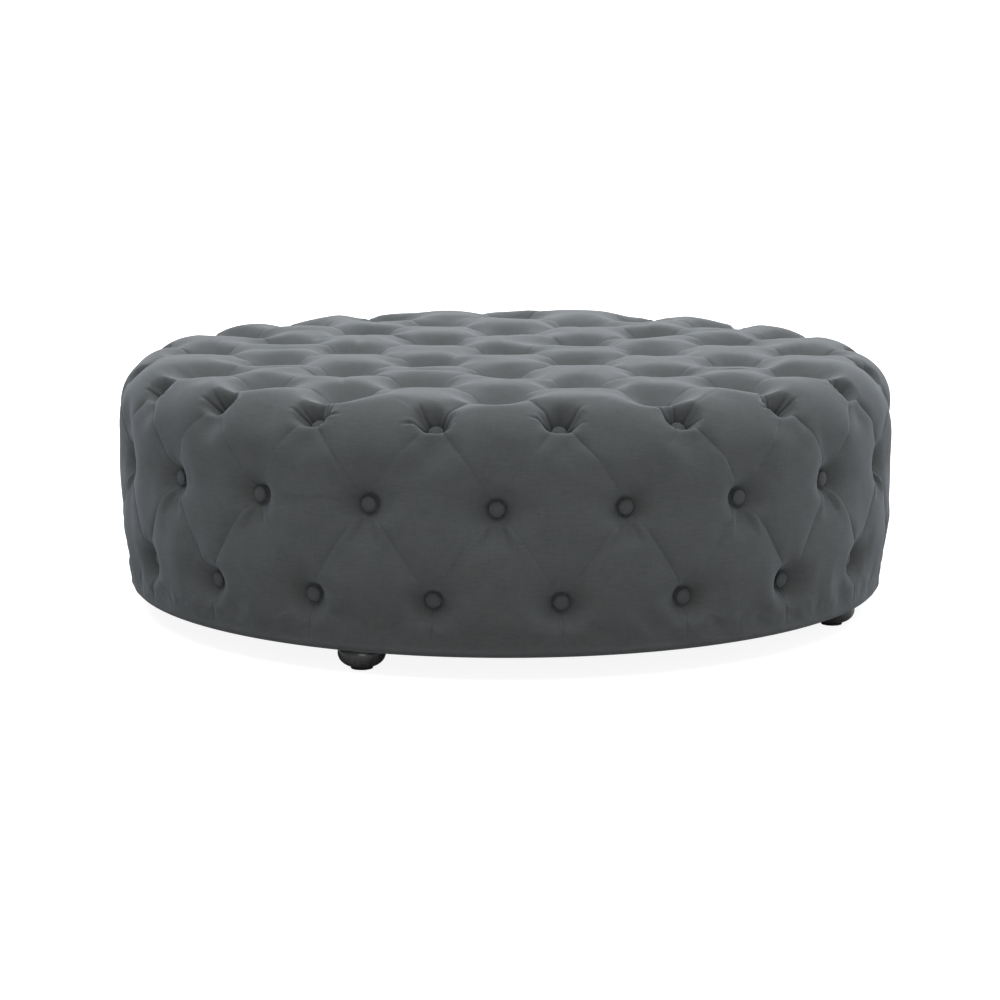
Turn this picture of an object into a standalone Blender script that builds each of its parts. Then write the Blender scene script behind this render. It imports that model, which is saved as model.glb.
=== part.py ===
"""A round, diamond-tufted floor pouf on four bun feet, built up as its upholsterer would build it.

A plywood base board and deck are held apart by posts and closed by a bent side panel. Foam lies on the
deck and round the panel, under one fabric cover. Rows of covered buttons are pulled into the cover by
twine, which goes through the foam and the boards and runs along behind them from button to button.

Metres, +Z up. The origin is the middle of the footprint, on the floor, and the front faces -Y.
"""

import math

import bmesh
import bpy
from mathutils import Matrix, Vector
from mathutils.geometry import delaunay_2d_cdt

# Overall size of the cover
OUTER_RADIUS = 0.600
CREST_HEIGHT = 0.393
SHOULDER_RADIUS = 0.085
UNDERSIDE_HEIGHT = 0.0343

# Lower part of the cover: upright down to the taper, then slightly in to a small bottom corner
TAPER_HEIGHT = 0.140
TAPER_INSET = 0.008
CORNER_RADIUS = 0.012
FLAP_WIDTH = 0.010
COVER_THICKNESS = 0.0015

# Clearances
GAP = 0.0003
SOFT_GAP = 0.0004

# Buttons and the pockets that they sit in
BUTTON_RADIUS = 0.011
BUTTON_FACE_RADIUS = 0.0085
BUTTON_THICKNESS = 0.006
BUTTON_SIDES = 6
POCKET_RADIUS = 0.040
POCKET_DEPTH = 0.032
POCKET_SIDES = 6
TWINE_RADIUS = 0.0011
TWINE_RUN_RADIUS = 0.0016
TWINE_END = 0.0018
TWINE_HOLE_RADIUS = 0.0019
TWINE_SIDES = 4

# Where the buttons are: a diamond lattice on the top, and three rings round the shoulder and the side
TOP_PITCH = 0.117
TOP_ROW_COUNTS = (3, 4, 5, 4, 5, 4, 5, 4, 3)
FIELD_EDGE = 0.024  # from the outermost top buttons to the start of the shoulder's curve
TOP_FIELD_RADIUS = OUTER_RADIUS - SHOULDER_RADIUS - FIELD_EDGE
RING_COUNT = 20
SHOULDER_RING_TILT = math.radians(46)
UPPER_RING_HEIGHT = 0.246
LOWER_RING_HEIGHT = 0.110

# Boards, panel and posts
BOARD_THICKNESS = 0.018
BOARD_SETBACK = 0.003
DECK_THICKNESS = 0.015
SIDE_DEPTH = 0.052  # from the cover's widest to the inside of the side panel
PANEL_RADIUS = OUTER_RADIUS - SIDE_DEPTH
PANEL_THICKNESS = 0.004
POST_COUNT = 8
POST_WIDTH = 0.045
POST_DEPTH = 0.036
POST_SETBACK = 0.009
CENTRE_POST_X = 0.250
CENTRE_POST_ROWS = 1.5
DUST_COVER_THICKNESS = 0.001
DUST_COVER_EASE = 0.0025

# Feet and their fastenings
FOOT_START_ANGLE = math.radians(-21.3)
FOOT_COUNT = 4
FOOT_RADIUS = 0.035
FOOT_CORE_RADIUS = 0.024
FOOT_CURVE_END = math.radians(75)
FOOT_CURVE_POINTS = 7
GLIDE_RADIUS = 0.016
GLIDE_THICKNESS = 0.003
BOLT_RADIUS = 0.004
BOLT_SCREW_RADIUS = 0.0034
BOLT_TIP_RADIUS = 0.0012
BOLT_TIP_LENGTH = 0.003
BOLT_IN_FOOT = 0.022
NUT_BARREL_RADIUS = 0.005
NUT_BARREL_LENGTH = 0.011
NUT_FLANGE_RADIUS = 0.009
NUT_FLANGE_THICKNESS = 0.0015
NUT_TO_PANEL = 0.0025
FOOT_CIRCLE_RADIUS = PANEL_RADIUS - NUT_FLANGE_RADIUS - NUT_TO_PANEL

# Facets
RING_SIDES = 40
TURNED_SIDES = 12
SMALL_TURNED_SIDES = 8
# The deck and the panel are turned by half a facet, so that the side's twine holes are in the middle of facets.
HALF_FACET = math.pi / RING_SIDES

# Levels that follow from the sizes above
SPLIT_HEIGHT = CREST_HEIGHT - SHOULDER_RADIUS
DECK_TOP = SPLIT_HEIGHT - GAP
DECK_BOTTOM = DECK_TOP - DECK_THICKNESS
BOARD_BOTTOM = UNDERSIDE_HEIGHT + COVER_THICKNESS + GAP
BOARD_TOP = BOARD_BOTTOM + BOARD_THICKNESS
CORNER_CENTRE = OUTER_RADIUS - TAPER_INSET - CORNER_RADIUS
BOARD_RADIUS = CORNER_CENTRE - BOARD_SETBACK
PANEL_OUTER_RADIUS = PANEL_RADIUS + PANEL_THICKNESS
TWINE_LEVEL = DECK_BOTTOM - GAP - TWINE_RUN_RADIUS
TWINE_RING_RADIUS = PANEL_RADIUS * math.cos(HALF_FACET) - GAP - TWINE_RUN_RADIUS
DUST_COVER_BOTTOM = BOARD_BOTTOM - GAP - DUST_COVER_THICKNESS
FOOT_TOP = DUST_COVER_BOTTOM - GAP
FOOT_BOTTOM = GLIDE_THICKNESS + GAP
FOAM_INSET = COVER_THICKNESS + SOFT_GAP
# A pocket's walls are widest across its flats' middles, and the button rests where it just fits between them.
POCKET_FLAT_RADIUS = POCKET_RADIUS * math.cos(math.pi / POCKET_SIDES)
SEAT_DEPTH = POCKET_DEPTH * (1 - BUTTON_RADIUS / POCKET_FLAT_RADIUS) - SOFT_GAP


def clear_scene():
    for obj in list(bpy.data.objects):
        bpy.data.objects.remove(obj, do_unlink=True)


def new_collection(name):
    collection = bpy.data.collections.new(name)
    bpy.context.scene.collection.children.link(collection)
    return collection


def material(name, colour, roughness, metallic=0.0):
    made = bpy.data.materials.new(name)
    made.use_nodes = True
    shader = made.node_tree.nodes["Principled BSDF"]
    shader.inputs["Base Color"].default_value = (*colour, 1.0)
    shader.inputs["Roughness"].default_value = roughness
    shader.inputs["Metallic"].default_value = metallic
    return made


def add_object(name, mesh, finish, collection):
    obj = bpy.data.objects.new(name, mesh)
    if not mesh.materials:
        mesh.materials.append(finish)
    collection.objects.link(obj)
    return obj


def mesh_from_bmesh(name, bm):
    mesh = bpy.data.meshes.new(name)
    bm.to_mesh(mesh)
    bm.free()
    return mesh


# The cover's cross-section, as runs of straight and round that follow one another


def straight_run(start, end):
    length = math.dist(start, end)
    along = ((end[0] - start[0]) / length, (end[1] - start[1]) / length)

    def point(distance):
        place = (start[0] + along[0] * distance, start[1] + along[1] * distance)
        return place, (-along[1], along[0])

    return length, point


def round_run(centre, radius, first_angle):
    """A quarter circle; the angle is that of its outward normal, from straight up."""

    def point(distance):
        angle = first_angle + distance / radius
        normal = (math.sin(angle), math.cos(angle))
        return (centre[0] + radius * normal[0], centre[1] + radius * normal[1]), normal

    return radius * math.pi / 2, point


def section_runs():
    top_edge = OUTER_RADIUS - SHOULDER_RADIUS
    corner_height = UNDERSIDE_HEIGHT + CORNER_RADIUS
    return (
        straight_run((0.0, CREST_HEIGHT), (top_edge, CREST_HEIGHT)),
        round_run((top_edge, SPLIT_HEIGHT), SHOULDER_RADIUS, 0.0),
        straight_run((OUTER_RADIUS, SPLIT_HEIGHT), (OUTER_RADIUS, TAPER_HEIGHT)),
        straight_run((OUTER_RADIUS, TAPER_HEIGHT), (OUTER_RADIUS - TAPER_INSET, corner_height)),
        round_run((CORNER_CENTRE, corner_height), CORNER_RADIUS, math.pi / 2),
        straight_run((CORNER_CENTRE, UNDERSIDE_HEIGHT), (CORNER_CENTRE - FLAP_WIDTH, UNDERSIDE_HEIGHT)),
    )


RUNS = section_runs()
SHOULDER_START, SHOULDER_END, TAPER_START, CORNER_START, CORNER_END, FLAP_END = (
    sum(length for length, _ in RUNS[: count + 1]) for count in range(len(RUNS))
)


def section(distance):
    """(radius, height) and outward normal at a distance along the cross-section from the middle of the top."""
    left = distance
    for length, point in RUNS[:-1]:
        if left <= length:
            return point(left)
        left -= length
    return RUNS[-1][1](left)


def on_surface(distance, angle, depth=0.0):
    """A point of the cover, at an angle from the front towards +X, and a depth below its smooth outer surface."""
    (radius, height), normal = section(distance)
    radius -= depth * normal[0]
    return Vector((radius * math.sin(angle), -radius * math.cos(angle), height - depth * normal[1]))


def outward(distance, angle):
    return on_surface(distance, angle) - on_surface(distance, angle, 1.0)


# Button places, each as (distance along the cross-section, angle)


def top_rows():
    """The top's buttons, row by row from the front. Those past the field's edge are drawn in to it."""
    middle = (len(TOP_ROW_COUNTS) - 1) / 2
    rows = []
    for number, count in enumerate(TOP_ROW_COUNTS):
        y = (number - middle) * TOP_PITCH
        row = []
        for place in range(count):
            x = (2 * place - count + 1) * TOP_PITCH
            row.append((min(math.hypot(x, y), TOP_FIELD_RADIUS), math.atan2(x, -y)))
        rows.append(row)
    return rows


def ring_buttons(distance, offset):
    step = math.tau / RING_COUNT
    return [(distance, step * (number + offset)) for number in range(RING_COUNT)]


TOP_ROWS = top_rows()
SHOULDER_RING = ring_buttons(SHOULDER_START + SHOULDER_RADIUS * SHOULDER_RING_TILT, 0.5)
UPPER_RING = ring_buttons(SHOULDER_END + SPLIT_HEIGHT - UPPER_RING_HEIGHT, 0.0)
LOWER_RING = ring_buttons(SHOULDER_END + SPLIT_HEIGHT - LOWER_RING_HEIGHT, 0.5)
TOP_BUTTONS = [button for row in TOP_ROWS for button in row] + SHOULDER_RING
SIDE_BUTTONS = UPPER_RING + LOWER_RING
ALL_BUTTONS = TOP_BUTTONS + SIDE_BUTTONS


# The quilted surface. It is laid out flat as a disc, with the distance along the cross-section as radius.


def flat(distance, angle):
    return Vector((distance * math.sin(angle), -distance * math.cos(angle)))


def corners_round(button, radius, sides):
    """Small polygon round a button: each corner's distance and angle, and its true offset from the button."""
    distance, angle = button
    (surface_radius, _), (normal_out, normal_up) = section(distance)
    across = Vector((math.cos(angle), math.sin(angle), 0.0))
    down = flat(normal_up, angle).to_3d() - Vector((0, 0, normal_out))
    for number in range(sides):
        turn = math.tau * number / sides
        right, away = radius * math.cos(turn), radius * math.sin(turn)
        offset = across * right + down * away
        if distance < SHOULDER_START:
            point = flat(distance, angle) + offset.xy
            yield point.length, math.atan2(point.x, -point.y), offset
        else:
            yield distance + away, angle + right / surface_radius, offset


def ring_angles(turn=0.0):
    return [turn + math.tau * number / RING_SIDES for number in range(RING_SIDES)]


def clear_of_pockets(distance, angle):
    point = on_surface(distance, angle)
    return all((on_surface(*button) - point).length > POCKET_RADIUS * 1.15 for button in ALL_BUTTONS)


def quilt():
    """The quilted surface: its spots, its triangles, each button's twine hole and each whole ring.

    A spot is a distance, an angle, a depth and an offset. A partial ring leaves out what falls in a pocket.
    """
    spots, plan, holes, rings = [], [], [], {}

    def add(spot, place):
        spots.append(spot)
        plan.append(flat(*place))
        return len(spots) - 1

    level = Vector((0, 0, 0))
    for distance in (SHOULDER_END, CORNER_START, CORNER_END, FLAP_END):
        rings[distance] = [add((distance, a, 0.0, level), (distance, a)) for a in ring_angles()]
    for distance in (SHOULDER_START, SHOULDER_START + SHOULDER_RADIUS * math.pi / 4):
        for angle in ring_angles():
            if clear_of_pockets(distance, angle):
                add((distance, angle, 0.0, level), (distance, angle))
    for button in ALL_BUTTONS:
        for distance, angle, _ in corners_round(button, POCKET_RADIUS, POCKET_SIDES):
            add((distance, angle, 0.0, level), (distance, angle))
        hole = []
        for distance, angle, offset in corners_round(button, TWINE_HOLE_RADIUS, TWINE_SIDES):
            hole.append(add((*button, POCKET_DEPTH, offset), (distance, angle)))
        holes.append(hole)
    drawn = [edge for ring in rings.values() for edge in loop_edges(ring)]
    return spots, triangulate(plan, holes, drawn), holes, rings


def loop_edges(loop):
    return [(loop[i - 1], loop[i]) for i in range(len(loop))]


def triangulate(points, open_loops, drawn=()):
    """Delaunay triangles of flat points. They keep the loops' edges and the drawn ones, and leave the loops open."""
    edges = [edge for loop in open_loops for edge in loop_edges(loop)] + list(drawn)
    _, _, faces, sources, _, _ = delaunay_2d_cdt(points, edges, [], 0, 1e-7)
    loop_of = {corner: number for number, loop in enumerate(open_loops) for corner in loop}
    kept = []
    for face in faces:
        corners = [sources[corner][0] for corner in face]
        touched = {loop_of.get(corner) for corner in corners}
        if len(touched) > 1 or None in touched:
            kept.append(corners)
    return kept


def bridge(loop, other):
    """Four-sided faces between two loops with as many corners."""
    return [(loop[i - 1], loop[i], other[i], other[i - 1]) for i in range(len(loop))]


def surface_points(spots, below):
    return [on_surface(s, angle, depth + below) + offset for s, angle, depth, offset in spots]


def closed_object(name, points, faces, finish, collection):
    mesh = bpy.data.meshes.new(name)
    mesh.from_pydata(points, [], faces)
    bm = bmesh.new()
    bm.from_mesh(mesh)
    loose = [vert for vert in bm.verts if not vert.link_faces]
    bmesh.ops.delete(bm, geom=loose, context="VERTS")
    bmesh.ops.recalc_face_normals(bm, faces=bm.faces)
    bm.to_mesh(mesh)
    bm.free()
    return add_object(name, mesh, finish, collection)


def make_cover(quilted, finish, collection):
    """One fabric skin with a pocket at each button, turned in under the base board as a narrow flap."""
    spots, triangles, holes, rings = quilted
    count = len(spots)
    points = surface_points(spots, 0.0) + surface_points(spots, COVER_THICKNESS)
    faces = triangles + [[corner + count for corner in triangle[::-1]] for triangle in triangles]
    for loop in [*holes, rings[FLAP_END]]:
        faces += bridge(loop, [corner + count for corner in loop])
    return closed_object("cover", points, faces, finish, collection)


def make_foam_top(quilted, finish, collection):
    """The slab on the deck, with the shoulder's rounding, its button pockets and its twine holes."""
    spots, triangles, holes, rings = quilted
    points = surface_points(spots, FOAM_INSET)
    upper = {number for number, spot in enumerate(spots) if spot[0] <= SHOULDER_END}
    faces = [triangle for triangle in triangles if upper.issuperset(triangle)]
    # The underside is flat: each hole's corners are carried down along the twine to the deck.
    under_holes = []
    for button, hole in zip(TOP_BUTTONS, holes):
        inward = -outward(*button)
        under_holes.append(list(range(len(points), len(points) + len(hole))))
        for corner in hole:
            points.append(points[corner] + inward * ((SPLIT_HEIGHT - points[corner].z) / inward.z))
        faces += bridge(hole, under_holes[-1])
    faces += faces_within(rings[SHOULDER_END], under_holes, [point.xy for point in points])
    return closed_object("foam_top", points, faces, finish, collection)


def faces_within(rim, loops, plan, drawn=()):
    """Triangles inside a rim and outside the loops, from each point's place on a flat plan."""
    corners = sorted({corner for loop in [rim, *loops] for corner in loop})
    local = {corner: number for number, corner in enumerate(corners)}
    open_loops = [[local[corner] for corner in loop] for loop in loops]
    local_drawn = [(local[start], local[end]) for start, end in drawn]
    found = triangulate([plan[corner] for corner in corners], open_loops, local_drawn)
    return [[corners[number] for number in triangle] for triangle in found]


def make_foam_side(quilted, finish, collection):
    """The band round the panel. It stands on the base board and laps down over the board's edge."""
    spots, triangles, holes, rings = quilted
    points = surface_points(spots, FOAM_INSET)
    side = {number for number, spot in enumerate(spots) if SHOULDER_END <= spot[0] <= CORNER_END}
    faces = [triangle for triangle in triangles if side.issuperset(triangle)]
    for corner in rings[SHOULDER_END]:
        points[corner].z = DECK_TOP

    def add_ring(radius, height, turn=0.0):
        points.extend(flat(radius, angle).to_3d() + Vector((0, 0, height)) for angle in ring_angles(turn))
        return list(range(len(points) - RING_SIDES, len(points)))

    inner_radius = PANEL_OUTER_RADIUS + GAP
    lip_radius = BOARD_RADIUS + GAP
    inner_top = add_ring(inner_radius, DECK_TOP, HALF_FACET)
    inner_bottom = add_ring(inner_radius, BOARD_TOP + GAP, HALF_FACET)
    step_out = add_ring(lip_radius, BOARD_TOP + GAP)
    step_down = add_ring(lip_radius, UNDERSIDE_HEIGHT + FOAM_INSET)
    faces += bridge(rings[SHOULDER_END], inner_top) + bridge(inner_bottom, step_out)
    faces += bridge(step_out, step_down) + bridge(step_down, rings[CORNER_END])
    inner_holes = []
    for button, hole in zip(SIDE_BUTTONS, holes[len(TOP_BUTTONS) :]):
        inward = -outward(*button)
        inner_holes.append(list(range(len(points), len(points) + len(hole))))
        for corner in hole:
            points.append(carried_to_radius(points[corner], inward, inner_radius * math.cos(HALF_FACET)))
        faces += bridge(hole, inner_holes[-1])
    # The inner wall is unrolled into a flat ring, whose radius grows as the wall goes down. Its upright edges
    # are drawn, which keeps each of its facets flat.
    unrolled = [point.xy.normalized() * (1.0 - point.z) for point in points]
    upright = list(zip(inner_top, inner_bottom))
    faces += faces_within(inner_bottom, [inner_top, *inner_holes], unrolled, upright)
    return closed_object("foam_side", points, faces, finish, collection)


# Solids of revolution, straight prisms and holes


def turned(name, profile, sides, finish, collection, closed=False):
    """A profile of (radius, height) pairs, running down its outer side, turned about Z."""
    mesh = bpy.data.meshes.new(name)
    edges = [(i, i + 1) for i in range(len(profile) - 1)]
    if closed:
        edges.append((len(profile) - 1, 0))
    mesh.from_pydata([(radius, 0.0, height) for radius, height in profile], edges, [])
    obj = add_object(name, mesh, finish, collection)
    screw = obj.modifiers.new("turn", "SCREW")
    screw.steps = screw.render_steps = sides
    screw.use_merge_vertices = True
    screw.merge_threshold = 0.00005
    return obj


def cylinder_mesh(name, radius, bottom, top, sides):
    bm = bmesh.new()
    centre = Matrix.Translation((0, 0, (bottom + top) / 2))
    bmesh.ops.create_cone(
        bm, cap_ends=True, segments=sides, radius1=radius, radius2=radius, depth=top - bottom, matrix=centre
    )
    return mesh_from_bmesh(name, bm)


def add_rod(bm, start, end, start_radius, end_radius, sides):
    """A prism or frustum from one point to another."""
    along = end - start
    place = Matrix.Translation((start + end) / 2) @ along.to_track_quat("Z", "Y").to_matrix().to_4x4()
    bmesh.ops.create_cone(
        bm,
        cap_ends=True,
        segments=sides,
        radius1=start_radius,
        radius2=end_radius,
        depth=along.length,
        matrix=place,
    )


def cut(obj, cutter):
    modifier = obj.modifiers.new("holes", "BOOLEAN")
    modifier.operation = "DIFFERENCE"
    modifier.object = cutter


def add_cutter(name, bm, collection):
    cutter = bpy.data.objects.new(name, mesh_from_bmesh(name, bm))
    cutter.hide_render = True
    cutter.display_type = "WIRE"
    collection.objects.link(cutter)
    return cutter


# Stitches: a button's seat on the cover, the outward direction there, and the twine's anchor behind the board


def top_stitch(button):
    direction = outward(*button)
    seat = on_surface(*button, SEAT_DEPTH)
    anchor = seat - direction * ((seat.z - TWINE_LEVEL) / direction.z)
    return seat, direction, anchor


def carried_to_radius(point, direction, radius):
    """The point moved along a direction that crosses the axis, until it is at a radius."""
    return point + direction * ((point.xy.length - radius) / direction.xy.length)


def side_stitch(button):
    direction = outward(*button)
    seat = on_surface(*button, SEAT_DEPTH)
    return seat, direction, carried_to_radius(seat, -direction, TWINE_RING_RADIUS)


def running_twine(name, stitches, closed, collection):
    """The twine that runs from anchor to anchor. On a ring it also bends halfway between two buttons."""
    path = [anchor for _, _, anchor in stitches]
    if closed:
        path = []
        for number, (_, _, anchor) in enumerate(stitches):
            middle = (anchor + stitches[number - 1][2]) / 2
            middle.xy = middle.xy.normalized() * anchor.xy.length
            path += [middle, anchor]
    else:
        path[0] = path[0] + (path[0] - path[1]).normalized() * TWINE_END
        path[-1] = path[-1] + (path[-1] - path[-2]).normalized() * TWINE_END
    curve = bpy.data.curves.new(name, "CURVE")
    curve.dimensions = "3D"
    curve.bevel_depth = TWINE_RUN_RADIUS
    curve.bevel_resolution = 0
    curve.use_fill_caps = True
    spline = curve.splines.new("POLY")
    spline.points.add(len(path) - 1)
    for point, place in zip(spline.points, path):
        point.co = (*place, 1.0)
    spline.use_cyclic_u = closed
    guide = bpy.data.objects.new(name, curve)
    collection.objects.link(guide)
    evaluated = guide.evaluated_get(bpy.context.evaluated_depsgraph_get())
    bm = bmesh.new()
    bm.from_mesh(bpy.data.meshes.new_from_object(evaluated))
    bmesh.ops.remove_doubles(bm, verts=bm.verts, dist=0.00001)
    bpy.data.objects.remove(guide, do_unlink=True)
    return add_cutter(name, bm, collection)


def make_tuft_row(name, stitches, finish, collection, tools, closed):
    """A row of buttons with the one length of twine that holds them."""
    buttons = bmesh.new()
    for seat, direction, anchor in stitches:
        face = seat + direction * BUTTON_THICKNESS
        add_rod(buttons, seat, face, BUTTON_RADIUS, BUTTON_FACE_RADIUS, BUTTON_SIDES)
        into_button = seat + direction * BUTTON_THICKNESS / 2
        add_rod(buttons, anchor, into_button, TWINE_RADIUS, TWINE_RADIUS, TWINE_SIDES)
    row = add_object(name, mesh_from_bmesh(name, buttons), finish, collection)
    union = row.modifiers.new("twine", "BOOLEAN")
    union.operation = "UNION"
    union.use_self = True
    union.object = running_twine(name + "_run", stitches, closed, tools)
    return row


def twine_holes(name, stitches, collection):
    """One cutter with a hole for each stitch, from its seat to past its anchor."""
    bm = bmesh.new()
    radius = TWINE_HOLE_RADIUS
    for seat, _, anchor in stitches:
        past_anchor = anchor + (anchor - seat).normalized() * BUTTON_THICKNESS
        add_rod(bm, past_anchor, seat, radius, radius, TWINE_SIDES)
    return add_cutter(name, bm, collection)


def foot_places():
    step = math.tau / FOOT_COUNT
    for number in range(FOOT_COUNT):
        angle = FOOT_START_ANGLE + step * number
        yield Vector((FOOT_CIRCLE_RADIUS * math.sin(angle), -FOOT_CIRCLE_RADIUS * math.cos(angle), 0.0))


def bolt_holes(name, radius, collection):
    bm = bmesh.new()
    for place in foot_places():
        low, high = Vector((0, 0, FOOT_BOTTOM)), Vector((0, 0, BOARD_TOP + BOARD_THICKNESS))
        add_rod(bm, place + low, place + high, radius, radius, TURNED_SIDES)
    return add_cutter(name, bm, collection)


def make_frame(plywood, pine, board, collection, tools):
    """Base board, deck, the panel between them and the posts that carry the deck."""
    base_mesh = cylinder_mesh("base_board", BOARD_RADIUS, BOARD_BOTTOM, BOARD_TOP, RING_SIDES)
    base = add_object("base_board", base_mesh, plywood, collection)
    cut(base, bolt_holes("tee_nut_holes", NUT_BARREL_RADIUS + GAP, tools))

    deck_mesh = cylinder_mesh("deck_board", PANEL_RADIUS - GAP, DECK_BOTTOM, DECK_TOP, RING_SIDES)
    deck = add_object("deck_board", deck_mesh, plywood, collection)
    deck.rotation_euler.z = HALF_FACET
    cut(deck, twine_holes("deck_twine_holes", [top_stitch(button) for button in TOP_BUTTONS], tools))

    low = BOARD_TOP + GAP
    outline = [(PANEL_RADIUS, DECK_TOP), (PANEL_OUTER_RADIUS, DECK_TOP)]
    outline += [(PANEL_OUTER_RADIUS, low), (PANEL_RADIUS, low)]
    panel = turned("side_panel", outline, RING_SIDES, board, collection, closed=True)
    panel.rotation_euler.z = HALF_FACET
    cut(panel, twine_holes("panel_twine_holes", [side_stitch(button) for button in SIDE_BUTTONS], tools))

    height = DECK_BOTTOM - GAP - low
    bm = bmesh.new()
    bmesh.ops.create_cube(bm, matrix=Matrix.Diagonal((POST_WIDTH, POST_DEPTH, height, 1.0)))
    post_mesh = mesh_from_bmesh("post", bm)
    ring_radius = PANEL_RADIUS - POST_SETBACK - POST_DEPTH / 2
    for number in range(POST_COUNT):
        angle = math.tau * number / POST_COUNT
        post = add_object(f"post_{number + 1}", post_mesh, pine, collection)
        post.location = (ring_radius * math.sin(angle), -ring_radius * math.cos(angle), low + height / 2)
        post.rotation_euler.z = angle
    centre_y = CENTRE_POST_ROWS * TOP_PITCH
    corners = [(x, y) for y in (-centre_y, centre_y) for x in (-CENTRE_POST_X, CENTRE_POST_X)]
    for number, (x, y) in enumerate(corners):
        post = add_object(f"centre_post_{number + 1}", post_mesh, pine, collection)
        post.location = (x, y, low + height / 2)


def foot_profile():
    """A flattened ball with a flat top and base, and a blind hole for the bolt's screw end."""
    middle = (FOOT_TOP + FOOT_BOTTOM) / 2
    bulge = FOOT_RADIUS - FOOT_CORE_RADIUS
    half_height = (FOOT_TOP - FOOT_BOTTOM) / 2 / math.sin(FOOT_CURVE_END)
    hole_radius = BOLT_RADIUS + GAP
    hole_bottom = FOOT_TOP - BOLT_IN_FOOT - GAP
    profile = [(0.0, hole_bottom), (hole_radius, hole_bottom), (hole_radius, FOOT_TOP)]
    for number in range(FOOT_CURVE_POINTS):
        angle = FOOT_CURVE_END * (1 - 2 * number / (FOOT_CURVE_POINTS - 1))
        profile.append(
            (FOOT_CORE_RADIUS + bulge * math.cos(angle), middle + half_height * math.sin(angle))
        )
    return profile + [(0.0, FOOT_BOTTOM)]


def bolt_profile():
    """A hanger bolt: machine thread above the foot, wood screw inside it."""
    top = BOARD_TOP + GAP + NUT_FLANGE_THICKNESS
    tip = FOOT_TOP - BOLT_IN_FOOT
    return [
        (0.0, top),
        (BOLT_RADIUS, top),
        (BOLT_RADIUS, FOOT_TOP - BOLT_RADIUS),
        (BOLT_SCREW_RADIUS, FOOT_TOP - 1.5 * BOLT_RADIUS),
        (BOLT_SCREW_RADIUS, tip + BOLT_TIP_LENGTH),
        (BOLT_TIP_RADIUS, tip),
        (0.0, tip),
    ]


def nut_profile():
    """A tee nut: a flange on the board and a barrel in its hole."""
    under = BOARD_TOP + GAP
    bore = BOLT_RADIUS + GAP
    return [
        (bore, under + NUT_FLANGE_THICKNESS),
        (NUT_FLANGE_RADIUS, under + NUT_FLANGE_THICKNESS),
        (NUT_FLANGE_RADIUS, under),
        (NUT_BARREL_RADIUS, under),
        (NUT_BARREL_RADIUS, under - NUT_BARREL_LENGTH),
        (bore, under - NUT_BARREL_LENGTH),
    ]


def make_feet(dark_wood, steel, felt, collection):
    glide_mesh = cylinder_mesh("glide", GLIDE_RADIUS, 0.0, GLIDE_THICKNESS, TURNED_SIDES)
    for number, place in enumerate(foot_places(), start=1):
        foot = turned(f"foot_{number}", foot_profile(), TURNED_SIDES, dark_wood, collection)
        bolt = turned(f"hanger_bolt_{number}", bolt_profile(), SMALL_TURNED_SIDES, steel, collection)
        nut = turned(f"tee_nut_{number}", nut_profile(), SMALL_TURNED_SIDES, steel, collection, closed=True)
        glide = add_object(f"glide_{number}", glide_mesh, felt, collection)
        for piece in (foot, bolt, nut, glide):
            piece.location = place


def make_dust_cover(finish, collection, tools):
    """The black cloth under the base board, inside the cover's flap."""
    radius = CORNER_CENTRE - FLAP_WIDTH - DUST_COVER_EASE
    low, high = DUST_COVER_BOTTOM, DUST_COVER_BOTTOM + DUST_COVER_THICKNESS
    cloth = add_object(
        "dust_cover", cylinder_mesh("dust_cover", radius, low, high, RING_SIDES), finish, collection
    )
    cut(cloth, bolt_holes("bolt_holes", BOLT_RADIUS + GAP, tools))


def main():
    clear_scene()
    pouf = new_collection("tufted_pouf")
    tools = new_collection("cutters")

    fabric = material("charcoal_linen", (0.062, 0.066, 0.070), 0.90)
    foam = material("foam", (0.72, 0.66, 0.45), 0.95)
    plywood = material("birch_plywood", (0.55, 0.40, 0.24), 0.65)
    pine = material("pine", (0.60, 0.44, 0.26), 0.70)
    fibre_board = material("bending_plywood", (0.42, 0.30, 0.18), 0.75)
    dark_wood = material("dark_stained_wood", (0.022, 0.018, 0.016), 0.30)
    steel = material("zinc_plated_steel", (0.60, 0.60, 0.58), 0.35, metallic=1.0)
    felt = material("felt", (0.05, 0.05, 0.05), 0.98)
    cambric = material("black_cambric", (0.02, 0.02, 0.02), 0.95)

    make_frame(plywood, pine, fibre_board, pouf, tools)
    quilted = quilt()
    make_foam_top(quilted, foam, pouf)
    make_foam_side(quilted, foam, pouf)
    make_cover(quilted, fabric, pouf)
    make_dust_cover(cambric, pouf, tools)
    make_feet(dark_wood, steel, felt, pouf)

    for number, row in enumerate(TOP_ROWS, start=1):
        stitches = [top_stitch(button) for button in row]
        make_tuft_row(f"tuft_top_row_{number}", stitches, fabric, pouf, tools, closed=False)
    shoulder = [top_stitch(button) for button in SHOULDER_RING]
    make_tuft_row("tuft_shoulder_row", shoulder, fabric, pouf, tools, closed=True)
    for name, ring in (("tuft_upper_row", UPPER_RING), ("tuft_lower_row", LOWER_RING)):
        stitches = [side_stitch(button) for button in ring]
        make_tuft_row(name, stitches, fabric, pouf, tools, closed=True)


main()
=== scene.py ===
"""The finished look of a round, diamond-tufted floor pouf.

The quilted cover is laid out flat, as a disc whose radius is the distance along the pouf's cross-section
from the middle of the top. Buttons, pleats and creases are placed on that flat plan, and then wrapped over
the frame.
"""

import math

import bpy
import numpy as np
from mathutils import Matrix, Vector
from mathutils.geometry import delaunay_2d_cdt


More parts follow.
